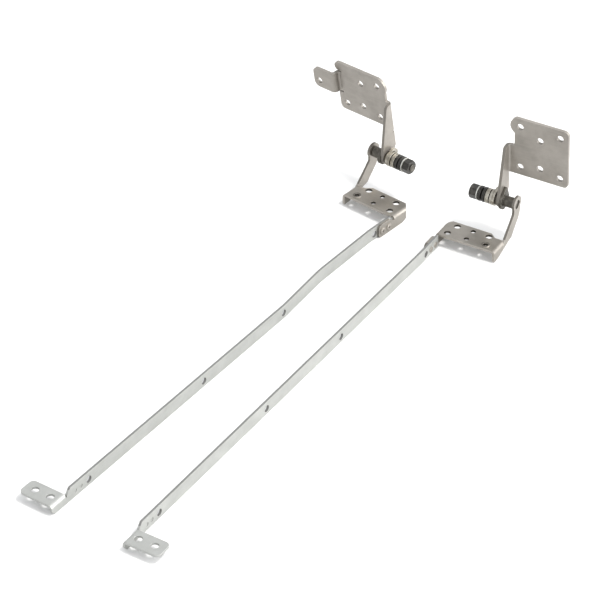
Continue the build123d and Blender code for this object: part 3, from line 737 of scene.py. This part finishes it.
class HINGE_OT_stack(bpy.types.Operator):
    """Finish the washers, springs and nut of the friction stack"""

    bl_idname = "hinge.stack"
    bl_label = "Finish Friction Stack"

    def execute(self, context):
        finish = context.scene.hinge_finish
        detail = context.scene.hinge_detail
        for side in SIDES:
            joint = hinge_joint(side)
            # Third tone of each: edges painted bright, partly wear, partly painted highlight; last tone: painted
            # shade in the stack's gaps.
            black_tones = (finish.black, finish.black_worn, finish.plate_worn, finish.black, finish.black)
            bright_tones = (finish.washer, finish.plate_worn, finish.rubbed_and_highlit, finish.grease, finish.painted_shade)
            dull_tones = (finish.black_worn, finish.washer, finish.washer, finish.grease, finish.painted_shade)
            zinc_tones = (finish.rail, finish.rail_worn, finish.rail_worn, finish.washer, finish.washer)
            black = turned_material(
                f"{side}_black_oxide", black_tones, joint, roughness=0.30, metallic=0.55, grease=0.4,
                coat=0.7)
            bright = turned_material(
                f"{side}_washer_steel", bright_tones, joint, roughness=0.26, metallic=0.9, grease=0.55)
            dull = turned_material(
                f"{side}_thrust_steel", dull_tones, joint, roughness=0.38, metallic=0.8, grease=0.8)
            zinc = turned_material(
                f"{side}_zinc_washer", zinc_tones, joint, roughness=0.35, metallic=0.5, grease=0.3)
            finishes = ((BLACK_STEMS, black), (BRIGHT_STEMS, bright), (DULL_STEMS, dull), (ZINC_STEMS, zinc))
            for stems, material in finishes:
                for stem in stems:
                    dress(node_object(side, stem), material)
                    if stem != NUT_STEM:
                        round_edges(node_object(side, stem), detail)
        return {"FINISHED"}


class HINGE_OT_shafts(bpy.types.Operator):
    """Finish the shafts and cut the thread that shows past each nut"""

    bl_idname = "hinge.shafts"
    bl_label = "Finish Shafts"

    def execute(self, context):
        finish = context.scene.hinge_finish
        detail = context.scene.hinge_detail
        for side in SIDES:
            joint = hinge_joint(side)
            # Third tone: edges painted bright, partly wear, partly painted highlight; last tone: painted shade in
            # the gaps.
            tones = (finish.black_worn, finish.bare, finish.washer, finish.black, finish.painted_shade)
            material = turned_material(
                f"{side}_shaft_steel", tones, joint, roughness=0.34, metallic=0.7, grease=0.5)
            shaft = node_object(side, "shaft")
            dress(shaft, material)
            thread = shaft_thread(side, shaft, joint, detail)
            thread.data.materials.append(material)
            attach(thread, LID_SIDE)
        return {"FINISHED"}


def shaft_thread(side, shaft, joint, detail):
    """Helical ridge on the end of the thread, made by a spin with a lift along the shaft."""
    axis = Vector(joint["axis"])
    pivot = Vector(joint["pos_m"])
    inwards = -axis if side == "right" else axis
    reaches = [(vertex.co - pivot).dot(inwards) for vertex in shaft.data.vertices]
    end_reach = max(reaches)
    end_points = [vertex.co for vertex, place in zip(shaft.data.vertices, reaches)
                  if end_reach - place < detail.thread_length]
    core = max(((point - pivot) - inwards * (point - pivot).dot(inwards)).length for point in end_points)
    upright = Vector(UPWARDS)
    first = pivot + inwards * (end_reach - detail.thread_length)
    turns = max(1.0, detail.thread_length / detail.thread_pitch)
    shape = bmesh.new()
    half = detail.thread_pitch * THREAD_HALF_FOOT
    profile = [
        shape.verts.new(first - inwards * half + upright * (core - detail.thread_depth)),
        shape.verts.new(first + upright * core),
        shape.verts.new(first + inwards * half + upright * (core - detail.thread_depth)),
    ]
    face = shape.faces.new(profile)
    bmesh.ops.spin(
        shape, geom=[face, *face.edges, *face.verts], cent=first, axis=inwards,
        dvec=inwards * (detail.thread_length * THREAD_LIFT / THREAD_STEPS), angle=2.0 * math.pi * turns,
        steps=THREAD_STEPS, use_merge=False)
    bmesh.ops.remove_doubles(shape, verts=shape.verts, dist=detail.thread_depth * THREAD_WELD_SHARE)
    bmesh.ops.recalc_face_normals(shape, faces=shape.faces)
    mesh = bpy.data.meshes.new(f"{side}_shaft_thread")
    shape.to_mesh(mesh)
    shape.free()
    thread = bpy.data.objects.new(f"{side}_shaft_thread", mesh)
    bpy.context.scene.collection.objects.link(thread)
    return thread


# Stage

def aim(thing, place, target):
    """Stands a camera or a lamp at a place and points it at a target."""
    direction = Vector(target) - Vector(place)
    turn = direction.to_track_quat("-Z", "Y").to_matrix().to_4x4()
    thing.matrix_world = Matrix.Translation(Vector(place)) @ turn


def area_light(name, place, target, size, energy, colour):
    """Square soft light."""
    data = bpy.data.lights.new(name, "AREA")
    data.shape = "SQUARE"
    data.size = size
    data.energy = energy
    data.color = colour
    lamp = bpy.data.objects.new(name, data)
    bpy.context.scene.collection.objects.link(lamp)
    aim(lamp, place, target)
    return lamp


def floor_material(studio):
    """Pale matt paper, darker in the metal's reflections than it is itself."""
    material, tree, shader, places = start_material("pale_paper", 0.0)
    path = tree.nodes.new("ShaderNodeLightPath")
    apart = tree.nodes.new("ShaderNodeSeparateXYZ")
    tree.links.new(places["Object"], apart.inputs["Vector"])
    start, end = studio.floor_change
    mirrored = remap(
        tree, apart.outputs["Y"], studio.floor_mirrored_near, studio.floor_mirrored_far, start, end)
    tone = add_node(tree, "ShaderNodeMix", data_type="FLOAT")
    first, second = MIX_VALUES
    tone.inputs[second].default_value = studio.floor_seen
    tree.links.new(path.outputs["Is Camera Ray"], tone.inputs[MIX_FACTOR])
    tree.links.new(mirrored, tone.inputs[first])
    tree.links.new(tone.outputs[MIX_VALUE_OUT], shader.inputs["Base Color"])
    shader.inputs["Roughness"].default_value = 0.9
    shader.inputs["Specular IOR Level"].default_value = 0.1
    return material


def soft_room(studio):
    """World of even soft light, which the metal sees as a room with one bright side."""
    world = bpy.data.worlds.new("soft_room")
    world.use_nodes = True
    tree = world.node_tree
    background = tree.nodes["Background"]
    background.inputs["Color"].default_value = studio.sky_tone
    places = tree.nodes.new("ShaderNodeTexCoord")
    path = tree.nodes.new("ShaderNodeLightPath")
    side = add_node(tree, "ShaderNodeVectorMath", operation="DOT_PRODUCT")
    side.inputs[1].default_value = Vector(studio.sky_direction).normalized()
    tree.links.new(places.outputs["Generated"], side.inputs[0])
    mirrored = remap(tree, side.outputs["Value"], studio.sky_dim, studio.sky_bright, -1.0, 1.0)
    strength = add_node(tree, "ShaderNodeMix", data_type="FLOAT")
    first, second = MIX_VALUES
    strength.inputs[first].default_value = studio.sky_strength
    tree.links.new(path.outputs["Is Glossy Ray"], strength.inputs[MIX_FACTOR])
    tree.links.new(mirrored, strength.inputs[second])
    tree.links.new(strength.outputs[MIX_VALUE_OUT], background.inputs["Strength"])
    return world


class HINGE_OT_stage(bpy.types.Operator):
    """Set the floor, the lights, the room tone and the camera"""

    bl_idname = "hinge.stage"
    bl_label = "Set Stage"

    def execute(self, context):
        studio = context.scene.hinge_studio
        target = Vector(studio.camera_target)
        shape = bmesh.new()
        bmesh.ops.create_grid(shape, x_segments=1, y_segments=1, size=studio.floor_size)
        mesh = bpy.data.meshes.new("paper_floor")
        shape.to_mesh(mesh)
        shape.free()
        paper = bpy.data.objects.new("paper_floor", mesh)
        context.scene.collection.objects.link(paper)
        paper.data.materials.append(floor_material(studio))
        key_place = target + Vector(studio.key_direction).normalized() * studio.key_distance
        key = area_light(
            "key_light", key_place, target, studio.key_size, studio.key_energy, studio.key_colour)
        key.visible_glossy = False
        side_place = target + Vector(studio.side_offset)
        area_light(
            "side_panel", side_place, target, studio.side_size, studio.side_energy, studio.side_colour)
        context.scene.world = soft_room(studio)
        lens = bpy.data.cameras.new("photo_camera")
        lens.lens = studio.lens
        lens.clip_end = studio.view_reach
        camera = bpy.data.objects.new("photo_camera", lens)
        context.scene.collection.objects.link(camera)
        aim(camera, studio.camera_place, target)
        context.scene.camera = camera
        context.scene.view_settings.view_transform = "Standard"
        return {"FINISHED"}


class HINGE_PT_panel(bpy.types.Panel):
    """Lists the steps that dress the pair"""

    bl_idname = "HINGE_PT_panel"
    bl_label = "Hinge Pair"
    bl_space_type = "VIEW_3D"
    bl_region_type = "UI"
    bl_category = "Hinge Pair"

    def draw(self, context):
        for operator in OPERATORS:
            self.layout.operator(operator.bl_idname)


OPERATORS = (HINGE_OT_brackets, HINGE_OT_rails, HINGE_OT_stack, HINGE_OT_shafts, HINGE_OT_stage)
GROUPS = (("hinge_finish", HingeFinish), ("hinge_detail", HingeDetail), ("hinge_studio", HingeStudio))


def register():
    """Registers the property groups, the operators and the panel."""
    for name, group in GROUPS:
        bpy.utils.register_class(group)
        setattr(bpy.types.Scene, name, bpy.props.PointerProperty(type=group))
    for operator in OPERATORS:
        bpy.utils.register_class(operator)
    bpy.utils.register_class(HINGE_PT_panel)


def unregister():
    """Takes out what register put in."""
    bpy.utils.unregister_class(HINGE_PT_panel)
    for operator in reversed(OPERATORS):
        bpy.utils.unregister_class(operator)
    for name, group in reversed(GROUPS):
        delattr(bpy.types.Scene, name)
        bpy.utils.unregister_class(group)


def main():
    """Runs every step in order."""
    register()
    bpy.ops.hinge.brackets()
    bpy.ops.hinge.rails()
    bpy.ops.hinge.stack()
    bpy.ops.hinge.shafts()
    bpy.ops.hinge.stage()


if __name__ == "__main__":
    main()
